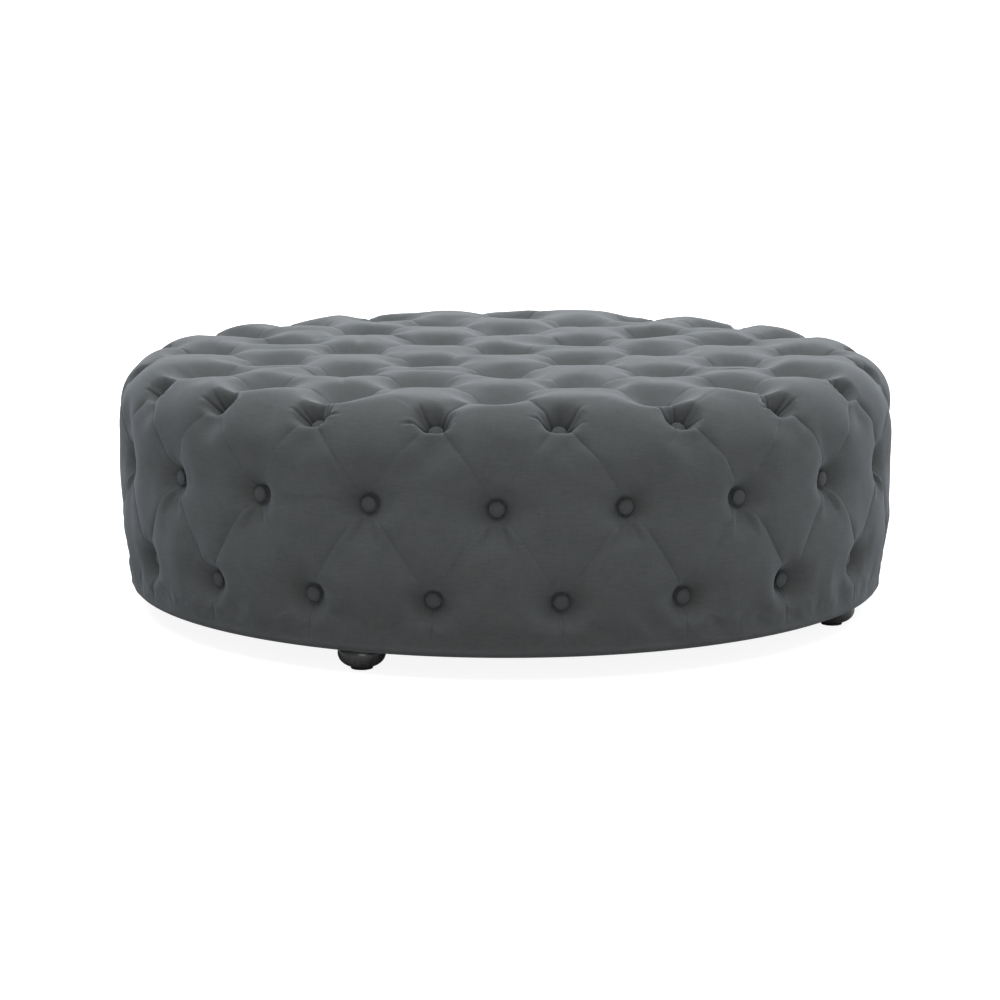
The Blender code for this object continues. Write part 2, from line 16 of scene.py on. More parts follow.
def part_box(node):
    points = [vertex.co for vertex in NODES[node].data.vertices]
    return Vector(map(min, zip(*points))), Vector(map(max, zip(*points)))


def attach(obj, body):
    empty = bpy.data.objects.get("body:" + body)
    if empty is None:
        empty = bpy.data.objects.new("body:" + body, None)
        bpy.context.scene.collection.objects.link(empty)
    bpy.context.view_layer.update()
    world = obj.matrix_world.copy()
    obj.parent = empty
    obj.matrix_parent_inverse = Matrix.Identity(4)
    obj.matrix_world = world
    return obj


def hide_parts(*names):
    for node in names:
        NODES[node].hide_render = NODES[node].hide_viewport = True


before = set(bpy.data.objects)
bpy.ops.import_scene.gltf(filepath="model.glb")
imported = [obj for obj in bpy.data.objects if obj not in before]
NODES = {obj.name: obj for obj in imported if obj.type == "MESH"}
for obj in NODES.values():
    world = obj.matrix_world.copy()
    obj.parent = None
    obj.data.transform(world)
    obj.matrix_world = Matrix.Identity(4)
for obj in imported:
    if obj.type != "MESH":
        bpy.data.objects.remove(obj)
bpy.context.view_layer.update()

MM = 0.001

# Sizes of the cover, from the frame where it gives them
COVER_LOW, COVER_HIGH = (np.array(corner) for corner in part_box("cover"))
OUTER_RADIUS = (COVER_HIGH[0] - COVER_LOW[0]) / 2
CREST_HEIGHT = COVER_HIGH[2]
UNDERSIDE_HEIGHT = COVER_LOW[2]
SHOULDER_RADIUS = 85 * MM
TAPER_HEIGHT = 140 * MM
TAPER_INSET = 8 * MM
CORNER_RADIUS = 12 * MM
FLAP_WIDTH = 15 * MM  # it laps 5 mm over the edge of the dust cover

# Button places
TOP_PITCH = 117 * MM
TOP_ROW_COUNTS = (3, 4, 5, 4, 5, 4, 5, 4, 3)
TOP_FIELD_RADIUS = 491 * MM
RIM_START = 3.9 * TOP_PITCH  # the top's buttons past this are the outermost
RING_COUNT = 20
SHOULDER_RING_TILT = math.radians(46)
UPPER_RING_HEIGHT = 246 * MM
LOWER_RING_HEIGHT = 110 * MM
BUTTON_RADIUS = 11 * MM
SEAT_DEPTH = 21 * MM
DEEP_SEAT = 29 * MM
BUTTON_WANDER = 2.2 * MM

# The cloth
GRID = 14
START_INSET = 5.0 * MM
EXTRA_CLOTH = 0.02
MOST_MOVE = 6 * MM

# Pleats, in millimetres: depth halfway along and near a button, the half-width of each, and the depth of
# the fold's groove
TOP_PLEAT = {"middle": 2.6, "near": 14, "reach": 82, "narrow": 38, "groove": 0.6}
RIM_PLEAT = {"middle": 3.0, "near": 18, "reach": 66, "narrow": 34, "groove": 2.2}
DEEP_SHOULDER_PLEAT = {"middle": 0.5, "near": 6, "reach": 55, "narrow": 20, "groove": 1.5}
FAINT_SHOULDER_PLEAT = {"middle": 0.3, "near": 5, "reach": 55, "narrow": 20, "groove": 0.4}
DEEP_SIDE_PLEAT = {"middle": 0.3, "near": 4, "reach": 50, "narrow": 16, "groove": 1.2}
FAINT_SIDE_PLEAT = {"middle": 0.3, "near": 4, "reach": 50, "narrow": 16, "groove": 0.7}
HEM_PLEAT = {"middle": 0.8, "near": 7, "reach": 40, "narrow": 16, "groove": 1.5, "open_end": True}

# Creases round one button: how many, the longest and the deepest in millimetres, and half their fan
TOP_CREASES = (3, 42, 2.2, math.pi)
SHOULDER_CREASES = (5, 52, 4.0, 1.8)
SIDE_CREASES = (2, 30, 1.3, math.pi)
CREASE_REACHES = (8 * MM, 5 * MM)

# Facets below the side's buttons: length and depth in millimetres, and half their spread
UPPER_FACET = (50.0, 19.0, 0.56)
LOWER_FACET = (34.0, 12.0, 0.5)

# A bun foot from its base up, as shares of its widest radius and of its height
FOOT_OUTLINE = (
    (0.46, 0.0), (0.50, 0.008), (0.62, 0.055), (0.74, 0.13), (0.84, 0.22), (0.92, 0.33), (0.97, 0.45),
    (1.0, 0.59), (0.99, 0.73), (0.955, 0.85), (0.90, 0.94), (0.87, 0.97), (0.86, 1.0),
)

RANDOM = np.random.default_rng(12)


# The cross-section


def section_breaks():
    top = OUTER_RADIUS - SHOULDER_RADIUS
    shoulder = top + SHOULDER_RADIUS * math.pi / 2
    upright = shoulder + CREST_HEIGHT - SHOULDER_RADIUS - TAPER_HEIGHT
    taper = upright + math.hypot(TAPER_INSET, TAPER_HEIGHT - UNDERSIDE_HEIGHT - CORNER_RADIUS)
    corner = taper + CORNER_RADIUS * math.pi / 2
    return top, shoulder, upright, taper, corner, corner + FLAP_WIDTH


TOP_END, SHOULDER_END, UPRIGHT_END, TAPER_END, CORNER_END, FLAP_END = section_breaks()


def section(distance):
    """Radius, height and outward normal, as arrays, at distances along the cross-section."""
    s = np.asarray(distance, float)
    turn = np.clip((s - TOP_END) / SHOULDER_RADIUS, 0, math.pi / 2)
    radius = np.minimum(s, TOP_END) + SHOULDER_RADIUS * np.sin(turn)
    height = CREST_HEIGHT - SHOULDER_RADIUS * (1 - np.cos(turn))
    height = height - np.clip(s - SHOULDER_END, 0, UPRIGHT_END - SHOULDER_END)
    lean = math.atan2(TAPER_INSET, TAPER_HEIGHT - UNDERSIDE_HEIGHT - CORNER_RADIUS)
    down = np.clip(s - UPRIGHT_END, 0, TAPER_END - UPRIGHT_END)
    radius = radius - down * math.sin(lean)
    height = height - down * math.cos(lean)
    bend = np.clip((s - TAPER_END) / CORNER_RADIUS, 0, math.pi / 2)
    radius = radius - CORNER_RADIUS * (1 - np.cos(bend)) - np.clip(s - CORNER_END, 0, FLAP_WIDTH)
    height = height - CORNER_RADIUS * np.sin(bend)
    tilt = turn + bend
    leaning = math.pi / 2 + np.minimum(lean, (s - UPRIGHT_END) * 4)
    tilt = np.where(s > UPRIGHT_END, np.maximum(tilt, leaning), tilt)
    return radius, height, np.sin(tilt), np.cos(tilt)


def wrapped(plan, depth):
    """Points of the pouf from their places on the flat plan and their depths below the smooth envelope."""
    s = np.hypot(plan[:, 0], plan[:, 1])
    across = np.divide(plan, s[:, None], out=np.zeros_like(plan), where=s[:, None] > 1e-9)
    radius, height, normal_out, normal_up = section(s)
    radius = radius - depth * normal_out
    return np.column_stack([across * radius[:, None], height - depth * normal_up])


def on_plan(distance, angle):
    return np.array([distance * math.sin(angle), -distance * math.cos(angle)])


# Buttons on the plan


def top_lattice():
    """The top's buttons as {(column, row): place}. Those past the field's edge are drawn in to it."""
    middle = (len(TOP_ROW_COUNTS) - 1) // 2
    places = {}
    for number, count in enumerate(TOP_ROW_COUNTS):
        for step in range(count):
            key = (2 * step - count + 1, number - middle)
            place = np.array(key, float) * TOP_PITCH
            place = place * min(1.0, TOP_FIELD_RADIUS / max(np.hypot(*place), 1e-9))
            places[key] = place + RANDOM.uniform(-BUTTON_WANDER, BUTTON_WANDER, 2)
    return places


def ring(distance, offset):
    places = [on_plan(distance, math.tau * (number + offset) / RING_COUNT) for number in range(RING_COUNT)]
    return [place + RANDOM.uniform(-BUTTON_WANDER, BUTTON_WANDER, 2) for place in places]


LATTICE = top_lattice()
SHOULDER = ring(TOP_END + SHOULDER_RADIUS * SHOULDER_RING_TILT, 0.5)
UPPER = ring(SHOULDER_END + CREST_HEIGHT - SHOULDER_RADIUS - UPPER_RING_HEIGHT, 0.0)
LOWER = ring(SHOULDER_END + CREST_HEIGHT - SHOULDER_RADIUS - LOWER_RING_HEIGHT, 0.5)
HEM = [on_plan(TAPER_END, math.tau * number / (2 * RING_COUNT)) for number in range(2 * RING_COUNT)]
BUTTONS = np.array([*LATTICE.values(), *SHOULDER, *UPPER, *LOWER])


def true_offset(plan, start, end):
    """For each plan point: its share of the way along start-end, its true distance from it, and its side.

    The plan is stretched round the side, so the part of the distance that goes round it is scaled back.
    """
    along = end - start
    length = max(np.hypot(*along), 1e-9)
    t = np.clip((plan - start) @ along / length**2, 0, 1)
    vector = plan - start - t[:, None] * along
    s = np.hypot(plan[:, 0], plan[:, 1])
    outwards = np.divide(plan, s[:, None], out=np.zeros_like(plan), where=s[:, None] > 1e-9)
    scale = np.where(s > TOP_END, section(s)[0] / np.maximum(s, 1e-9), 1.0)
    radial = (vector * outwards).sum(1)
    round_ = vector[:, 1] * outwards[:, 0] - vector[:, 0] * outwards[:, 1]
    side = np.sign(along[0] * vector[:, 1] - along[1] * vector[:, 0])
    return t, np.hypot(radial, round_ * scale), side


def nearby(plan, start, end, reach):
    """Numbers of the plan points that can lie within reach of start-end."""
    middle = (start + end) / 2
    limit = np.hypot(*(end - start)) / 2 + reach / 0.6
    return np.flatnonzero((np.abs(plan - middle) < limit).all(1))


class Pleat:
    """A fold of cloth between two places, shaped as the tables of pleats at the top say."""

    def __init__(self, start, end, middle, near, reach, narrow, groove, open_end=False):
        self.start, self.end = start, end
        self.middle, self.near = middle, near
        self.reach, self.narrow = reach, narrow
        self.groove = groove
        self.open_end = open_end

    def from_button(self, t):
        """Distance in millimetres from the nearer button."""
        length = np.hypot(*(self.end - self.start)) / MM
        share = t if self.open_end else np.minimum(t, 1 - t)
        return share * length

    def valley(self, t, gap):
        wide = self.middle * np.clip(1 - gap / (self.reach * MM), 0, 1) ** 2
        if self.open_end:
            wide = wide * (1 - t)
        pull = np.exp(-self.from_button(t) / 24.0)
        return wide + (self.near - self.middle) * pull * np.clip(1 - gap / (self.narrow * MM), 0, 1) ** 2

    def fold(self, t, gap, side):
        """The fold line itself: a narrow groove, with a lip of cloth that stands a little proud beside it."""
        strength = self.groove * (0.45 + 0.55 * np.exp(-self.from_button(t) / 30.0))
        if self.open_end:
            strength = strength * np.clip((1 - t) * 3, 0, 1)
        lip = np.exp(-(((gap - 4.5 * MM) / (3.5 * MM)) ** 2)) * (side < 0)
        return strength * (np.exp(-((gap / (1.5 * MM)) ** 2)) - 0.25 * lip)


def pleats():
    found = []
    for (column, row), place in LATTICE.items():
        for step in (-1, 1):
            if (column + step, row + 1) in LATTICE:
                found.append(Pleat(place, LATTICE[column + step, row + 1], **TOP_PLEAT))
    rim = [place for place in LATTICE.values() if np.hypot(*place) > RIM_START]
    for number, place in enumerate(SHOULDER):
        nearest = min(rim, key=lambda other: np.hypot(*(other - place)))
        found.append(Pleat(place, nearest, **RIM_PLEAT))
        after = (number + 1) % RING_COUNT
        found.append(Pleat(place, UPPER[after], **DEEP_SHOULDER_PLEAT))
        found.append(Pleat(place, UPPER[number], **FAINT_SHOULDER_PLEAT))
        found.append(Pleat(UPPER[number], LOWER[number], **DEEP_SIDE_PLEAT))
        found.append(Pleat(UPPER[after], LOWER[number], **FAINT_SIDE_PLEAT))
        hem = on_plan(TAPER_END, math.tau * (number + 0.5) / RING_COUNT)
        found.append(Pleat(LOWER[number], hem, **HEM_PLEAT))
    return found


PLEATS = pleats()


def creases():
    """Short creases that fan out from each button, between its pleats, as (start, end, depth)."""
    found = []
    for number, place in enumerate(BUTTONS):
        inwards = math.atan2(-place[1], -place[0])
        if number < len(LATTICE):
            count, longest, deepest, fan = TOP_CREASES
        elif number < len(LATTICE) + RING_COUNT:
            count, longest, deepest, fan = SHOULDER_CREASES
        else:
            count, longest, deepest, fan = SIDE_CREASES
        for step in range(count):
            angle = inwards + fan * (2 * (step + RANDOM.uniform(0.15, 0.85)) / count - 1)
            length = RANDOM.uniform(0.6, 1.0) * longest * MM
            end = place + length * np.array([math.cos(angle), math.sin(angle)])
            found.append((place, end, RANDOM.uniform(0.55, 1.0) * deepest))
    return found


CREASES = creases()


def seat_depth(place):
    """The top's and the shoulder's buttons are pulled in further than the side's."""
    return DEEP_SEAT if np.hypot(*place) < SHOULDER_END else SEAT_DEPTH


def pit(place, plan, gap):
    """Depth in millimetres that a button's own pull gives to points round it."""
    distance = np.hypot(*place)
    outwards = place / max(distance, 1e-9)
    offset = plan - place
    below = offset @ outwards / np.maximum(np.hypot(offset[:, 0], offset[:, 1]), 1e-9)
    power = 2.2
    if distance < TOP_END:
        reach = np.full(len(plan), 80.0)
        power = 2.4
    elif distance < SHOULDER_END:
        # The pocket's lower wall is steep and short, and all but hides the button from in front.
        reach = 23.0 - 15.0 * below
        power = 1.9
    else:
        reach = np.full(len(plan), 34.0)
    edge = (gap / MM - 12.0) / reach
    depth = (seat_depth(place) / MM + 3.5) * np.clip(1 - np.maximum(edge, 0), 0, 1) ** power
    if SHOULDER_END < distance:
        # Below a side button the cloth runs out straight, in a facet between the two pleats that go down.
        upper = distance < (UPRIGHT_END + SHOULDER_END) / 2
        longest, deepest, half_width = UPPER_FACET if upper else LOWER_FACET
        facet = deepest * np.clip(1 - (gap / MM - 8.0) / longest, 0, 1)
        turn = np.arccos(np.clip(below, -1, 1))
        depth = np.maximum(depth, facet * np.clip((half_width - turn) / 0.10, 0, 1))
    return depth


def under_pockets(plan):
    """Below its lip each shoulder pocket leaves the cloth standing straighter than the curve beside it."""
    depth = np.zeros(len(plan))
    for place in SHOULDER:
        here = nearby(plan, place, place, 0.12)
        outwards = place / np.hypot(*place)
        down = (plan[here] - place) @ outwards / MM
        _, gap, _ = true_offset(plan[here], place, place + 1e-7)
        across = np.sqrt(np.maximum((gap / MM) ** 2 - down**2, 0))
        lip = -3.0 * np.exp(-(((down - 19) / 8) ** 2)) * np.exp(-((across / 18) ** 2))
        dish = 4.2 * np.exp(-(((down - 48) / 22) ** 2)) * np.exp(-((across / 26) ** 2))
        depth[here] += lip + dish
    return depth


def unevenness(plan):
    """The slow, slight rise and fall of hand-laid padding, in millimetres."""
    waves = np.random.default_rng(5)
    total = np.zeros(len(plan))
    for _ in range(14):
        heading = waves.uniform(0, math.tau)
        rate = math.tau / waves.uniform(0.09, 0.24)
        along = plan @ np.array([math.cos(heading), math.sin(heading)])
        total += 0.42 * np.sin(rate * along + waves.uniform(0, math.tau))
    return total


def tufting(plan, fine):
    """Depth below the envelope, in metres, at each point of the plan."""
    power = 3.5
    total = np.zeros(len(plan))
    groove = np.zeros(len(plan))
    seat = np.full(len(plan), 1.0)
    bottom = np.full(len(plan), SEAT_DEPTH / MM)
    for pleat in PLEATS:
        here = nearby(plan, pleat.start, pleat.end, pleat.reach * MM)
        t, gap, side = true_offset(plan[here], pleat.start, pleat.end)
        total[here] += np.maximum(pleat.valley(t, gap), 0) ** power
        groove[here] += pleat.fold(t, gap, side)
    for place in BUTTONS:
        here = nearby(plan, place, place, 0.095)
        _, gap, _ = true_offset(plan[here], place, place + 1e-7)
        total[here] += pit(place, plan[here], gap) ** power
        bottom[here] = np.where(gap < seat[here], seat_depth(place) / MM, bottom[here])
        seat[here] = np.minimum(seat[here], gap)
    depth = total ** (1 / power) + under_pockets(plan) + unevenness(plan)
    s = np.hypot(plan[:, 0], plan[:, 1])
    crown = 1.5 * np.clip((SHOULDER_END - s) / 0.12, 0, 1) + 0.5
    crown += 3.5 * np.exp(-(((s - 0.58) / 0.05) ** 2))
    depth -= crown * np.exp(-((depth / 7.0) ** 2)) * np.clip((TAPER_END - s) / 0.03, 0, 1)
    if fine:
        for start, end, cut in CREASES:
            here = nearby(plan, start, end, 12 * MM)
            t, gap, _ = true_offset(plan[here], start, end)
            profile = np.sin(math.pi * np.clip(t * 0.75 + 0.25, 0, 1)) ** 1.3
            ridge = 0.35 * np.exp(-(((gap - 5.5 * MM) / (3 * MM)) ** 2))
            groove[here] += cut * profile * (np.exp(-((gap / (2.2 * MM)) ** 2)) - ridge)
        depth = depth + groove * np.clip((seat - 10 * MM) / (6 * MM), 0, 1)
    flat = np.clip((11 * MM - seat) / (6 * MM), 0, 1)
    depth = depth * (1 - flat) + bottom * flat
    return depth * MM


# The net of triangles between buttons, each filled with a grid that is finest along its edges


def coarse_net():
    corners = [Vector(place) for place in [*BUTTONS, *HEM]]
    _, _, faces, sources, _, _ = delaunay_2d_cdt(corners, [], [], 0, 1e-7)
    return [[sources[corner][0] for corner in face] for face in faces]


NET = coarse_net()
NET_CORNERS = np.array([*BUTTONS, *HEM])


def patch_grid(count):
    """Whole-number weights of a triangular grid, and its triangles."""
    weights = [(i, j, count - i - j) for i in range(count + 1) for j in range(count + 1 - i)]
    index = {weight: number for number, weight in enumerate(weights)}
    faces = []
    for i, j, k in weights:
        if k > 0:
            faces.append((index[i, j, k], index[i + 1, j, k - 1], index[i, j + 1, k - 1]))
        if k > 0 and j > 0:
            faces.append((index[i, j, k], index[i + 1, j - 1, k], index[i + 1, j, k - 1]))
    return weights, faces


def fill_net(count):
    """Plan points and triangles of the whole net, and each patch's list of point numbers."""
    weights, faces = patch_grid(count)
    eased = (np.array(weights) / count) ** 1.5
    eased /= eased.sum(1, keepdims=True)
    shared, plan, triangles, patches = {}, [], [], []
    for corners in NET:
        places = eased @ NET_CORNERS[corners]
        numbers = []
        for weight, place in zip(weights, places):
            key = tuple(sorted((corner, w) for corner, w in zip(corners, weight) if w))
            if len(key) == 3:
                key = (tuple(corners), weight)
            elif all(corner >= len(BUTTONS) for corner, _ in key):
                place = place * (TAPER_END / np.hypot(*place))
            if key not in shared:
                shared[key] = len(plan)
                plan.append(place)
            numbers.append(shared[key])
        patches.append(numbers)
        triangles += [[numbers[corner] for corner in face] for face in faces]
    return np.array(plan), triangles, patches


def refined(plan, shift, triangles, reach):
    """Splits the triangles near a crease in four, and the ones beside them so that all still join up."""
    middles = plan[np.array(triangles)].mean(1)
    close = np.zeros(len(triangles), bool)
    for start, end, _ in CREASES:
        here = nearby(middles, start, end, reach)
        close[here[true_offset(middles[here], start, end)[1] < reach]] = True
    halfway = {}
    for number in np.flatnonzero(close):
        a, b, c = triangles[number]
        for pair in ((a, b), (b, c), (c, a)):
            halfway.setdefault((min(pair), max(pair)), len(plan) + len(halfway))
    ends = np.array(list(halfway))
    plan = np.vstack([plan, plan[ends].mean(1)])
    shift = np.vstack([shift, shift[ends].mean(1)])
    faces = []
    for a, b, c in triangles:
        ab, bc, ca = (halfway.get((min(pair), max(pair))) for pair in ((a, b), (b, c), (c, a)))
        split = [middle for middle in (ab, bc, ca) if middle is not None]
        if not split:
            faces.append((a, b, c))
        elif len(split) == 3:
            faces += [(a, ab, ca), (ab, b, bc), (ca, bc, c), (ab, bc, ca)]
        else:
            # Turned so that the first side is split, and the last side is not
            while ab is None or ca is not None:
                a, b, c, ab, bc, ca = b, c, a, bc, ca, ab
            faces.append((ab, b, bc) if bc is not None else (ab, b, c))
            faces += [(a, ab, bc), (a, bc, c)] if bc is not None else [(a, ab, c)]
    return plan, shift, faces


def hem_rows(plan):
    """Numbers of the points on the net's lower edge, in order round the pouf."""
    on_edge = np.flatnonzero(np.hypot(plan[:, 0], plan[:, 1]) > TAPER_END - 1e-6)
    return on_edge[np.argsort(np.arctan2(plan[on_edge, 0], -plan[on_edge, 1]))]


def cloth_object(name, points, triangles, material):
    mesh = bpy.data.meshes.new(name)
    mesh.from_pydata(points.tolist(), [], triangles)
    if material:
        mesh.materials.append(material)
    obj = bpy.data.objects.new(name, mesh)
    bpy.context.scene.collection.objects.link(obj)
    mesh.shade_smooth()
    return obj


def turned_in(plan, points, triangles):
    """Adds the rounded lower corner and the flap under the base board to the net."""
    loop = hem_rows(plan)
    corner = CORNER_END - TAPER_END
    steps = [TAPER_END + corner * part for part in (0.2, 0.4, 0.6, 0.8, 1.0)] + [FLAP_END]
    depth_at_hem = depth_of(plan[loop], points[loop])
    plans, rows, faces = [plan], [points], list(triangles)
    previous, count = loop, len(points)
    for number, distance in enumerate(steps):
        row_plan = plan[loop] * (distance / TAPER_END)
        row = wrapped(row_plan, depth_at_hem * max(0.0, 1 - (number + 1) / 4))
        current = np.arange(count, count + len(loop))
        for i in range(len(loop)):
            faces.append([previous[i - 1], current[i - 1], current[i], previous[i]])
        plans.append(row_plan)
        rows.append(row)
        previous, count = current, count + len(loop)
    return np.vstack(plans), np.vstack(rows), [[int(corner) for corner in face] for face in faces]


def depth_of(plan, points):
    """How far points lie below the envelope, along its normal."""
    s = np.hypot(plan[:, 0], plan[:, 1])
    radius, height, normal_out, normal_up = section(s)
    inwards = radius - np.hypot(points[:, 0], points[:, 1])
    return inwards * normal_out + (height - points[:, 2]) * normal_up


# Materials


class Nodes:
    """A material's node tree, with short ways to add and join nodes."""

    def __init__(self, name):
        self.material = bpy.data.materials.new(name)
        self.material.use_nodes = True
        self.tree = self.material.node_tree
        self.shader = self.tree.nodes["Principled BSDF"]

    def add(self, kind, **settings):
        node = self.tree.nodes.new("ShaderNode" + kind)
        for key, value in settings.items():
            setattr(node, key, value)
        return node

    def join(self, output, target):
        self.tree.links.new(output, target)

    def mapped(self, source, scale):
        """Scaled texture coordinates; the source is "Object" or "UV"."""
        coordinates = self.add("TexCoord")
        mapping = self.add("Mapping")
        mapping.inputs["Scale"].default_value = scale
        self.join(coordinates.outputs[source], mapping.inputs["Vector"])
        return mapping.outputs["Vector"]

    def noise(self, vector, scale, detail=3.0, roughness=0.5):
        node = self.add("TexNoise")
        node.inputs["Scale"].default_value = scale
        node.inputs["Detail"].default_value = detail
        node.inputs["Roughness"].default_value = roughness
        self.join(vector, node.inputs["Vector"])
        return node.outputs["Fac"]

    def math(self, operation, first, second):
        node = self.add("Math")
        node.operation = operation
        for socket, value in zip(node.inputs, (first, second)):
            if isinstance(value, (int, float)):
                socket.default_value = value
            else:
                self.join(value, socket)
        return node.outputs[0]

    def ramp(self, factor, stops):
        node = self.add("ValToRGB")
        elements = node.color_ramp.elements
        while len(elements) < len(stops):
            elements.new(0.5)
        for element, (position, colour) in zip(elements, stops):
            element.position = position
            element.color = (*colour, 1.0)
        self.join(factor, node.inputs["Fac"])
        return node.outputs["Color"]

    def bump(self, height, strength, distance):
        node = self.add("Bump")
        node.inputs["Strength"].default_value = strength
        node.inputs["Distance"].default_value = distance
        self.join(height, node.inputs["Height"])
        self.join(node.outputs["Normal"], self.shader.inputs["Normal"])


def linen(name, colour, source):
    """Plain-woven charcoal linen: fine over-and-under weave, slubs along both threads, soft mottling."""
    n = Nodes(name)
    coordinates = n.mapped(source, (1, 1, 1))
    warp = n.add("TexWave", bands_direction="X")
    weft = n.add("TexWave", bands_direction="Y")
    for wave in (warp, weft):
        wave.inputs["Scale"].default_value = 310.0
        wave.inputs["Distortion"].default_value = 1.2
        wave.inputs["Detail"].default_value = 2.0
        wave.inputs["Detail Scale"].default_value = 0.6
        n.join(coordinates, wave.inputs["Vector"])
    weave = n.math("MULTIPLY", warp.outputs["Fac"], weft.outputs["Fac"])
    slubs_across = n.noise(n.mapped(source, (45, 430, 45)), 1.0, 4.0, 0.6)
    slubs_down = n.noise(n.mapped(source, (430, 45, 45)), 1.0, 4.0, 0.6)
    mottle = n.noise(coordinates, 34.0, 5.0, 0.62)
    slubs = n.math("ADD", n.math("MULTIPLY", slubs_across, 0.62), n.math("MULTIPLY", slubs_down, 0.38))
    tone = n.math("ADD", n.math("MULTIPLY", slubs, 0.6), n.math("MULTIPLY", mottle, 0.28))
    tone = n.math("ADD", tone, n.math("MULTIPLY", weave, 0.22))
    dark, light = ([c * k for c in colour] for k in (0.70, 1.32))
    n.join(n.ramp(tone, [(0.22, dark), (0.52, colour), (0.84, light)]), n.shader.inputs["Base Color"])
    height = n.math("ADD", n.math("MULTIPLY", slubs, 0.7), n.math("MULTIPLY", weave, 0.5))
    n.bump(height, 0.35, 0.0006)
    n.shader.inputs["Roughness"].default_value = 0.92
    n.shader.inputs["Specular IOR Level"].default_value = 0.25
    n.shader.inputs["Sheen Weight"].default_value = 0.24
    n.shader.inputs["Sheen Roughness"].default_value = 0.45
    n.shader.inputs["Sheen Tint"].default_value = (0.80, 0.88, 1.0, 1.0)
    return n.material


def dark_wood():
    """Near-black stained wood under satin lacquer, with the grain just showing."""
    n = Nodes("dark_stained_wood")
    grain = n.noise(n.mapped("Object", (90, 90, 14)), 1.0, 6.0, 0.65)
    shades = n.ramp(grain, [(0.3, (0.056, 0.054, 0.054)), (0.7, (0.105, 0.101, 0.100))])
    n.join(shades, n.shader.inputs["Base Color"])
    n.join(n.math("ADD", n.math("MULTIPLY", grain, 0.16), 0.20), n.shader.inputs["Roughness"])
    n.bump(grain, 0.15, 0.0004)
    n.shader.inputs["Coat Weight"].default_value = 0.5
    n.shader.inputs["Coat Roughness"].default_value = 0.15
    return n.material


def raw_wood(name, light, dark, stretch, plies=0.0):
    """Unfinished wood: grain stretched along one way, and for plywood its glued layers on the edge."""
    n = Nodes(name)
    grain = n.noise(n.mapped("Object", stretch), 1.0, 6.0, 0.6)
    factor = grain
    if plies:
        layers = n.add("TexWave", bands_direction="Z")
        layers.inputs["Scale"].default_value = plies
        n.join(n.mapped("Object", (1, 1, 1)), layers.inputs["Vector"])
        stripes = n.math("MULTIPLY", layers.outputs["Fac"], 0.3)
        factor = n.math("ADD", n.math("MULTIPLY", grain, 0.7), stripes)
    n.join(n.ramp(factor, [(0.25, dark), (0.75, light)]), n.shader.inputs["Base Color"])
    n.bump(grain, 0.2, 0.0005)
    n.shader.inputs["Roughness"].default_value = 0.7
    return n.material


def steel():
    n = Nodes("zinc_plated_steel")
    flecks = n.noise(n.mapped("Object", (1, 1, 1)), 260.0, 3.0)
    shades = n.ramp(flecks, [(0.3, (0.48, 0.49, 0.50)), (0.7, (0.66, 0.66, 0.62))])
    n.join(shades, n.shader.inputs["Base Color"])
    n.join(n.math("ADD", n.math("MULTIPLY", flecks, 0.25), 0.22), n.shader.inputs["Roughness"])
    n.shader.inputs["Metallic"].default_value = 1.0
    return n.material


def fibrous(name, dark, light, scale, depth):
    """Felt, non-woven cloth or foam: a dense random texture."""
    n = Nodes(name)
    fibres = n.noise(n.mapped("Object", (1, 1, 1)), scale, 6.0, 0.75)
    n.join(n.ramp(fibres, [(0.3, dark), (0.7, light)]), n.shader.inputs["Base Color"])
    n.bump(fibres, 0.5, depth)
    n.shader.inputs["Roughness"].default_value = 0.97
    return n.material


# Pieces


def fabric_coordinates(obj, plan, triangles):
    """The cloth's own lie as a UV map: straight across the top, and round and down on the side."""
    layer = obj.data.uv_layers.new(name="weave")
    s = np.hypot(plan[:, 0], plan[:, 1])
    angle = np.arctan2(plan[:, 0], -plan[:, 1])
    shoulder = np.hypot(*SHOULDER[0])
    values = []
    for face in triangles:
        if s[face].mean() < shoulder:
            values += plan[face].tolist()
        else:
            turned = angle[face]
            turned = np.where(turned < turned.max() - math.pi, turned + math.tau, turned)
            values += np.column_stack([turned * OUTER_RADIUS, -s[face]]).tolist()
    layer.data.foreach_set("uv", np.array(values).ravel())


def held_groups(obj, plan):
    """The cloth is held at its buttons and along its hem, and freer and freer away from them."""
    gap = np.full(len(plan), 1.0)
    for place in BUTTONS:
        here = nearby(plan, place, place, 0.05)
        gap[here] = np.minimum(gap[here], true_offset(plan[here], place, place + 1e-7)[1])
    weight = 1 - np.clip((gap - 13 * MM) / (14 * MM), 0, 1)
    s = np.hypot(plan[:, 0], plan[:, 1])
    weight = np.maximum(weight, 1 - np.clip((TAPER_END - s - 4 * MM) / (20 * MM), 0, 1))
    held = obj.vertex_groups.new(name="held")
    for level in range(1, 11):
        chosen = np.flatnonzero(np.round(weight * 10) == level)
        held.add(chosen.tolist(), level / 10, "REPLACE")
    return held.name


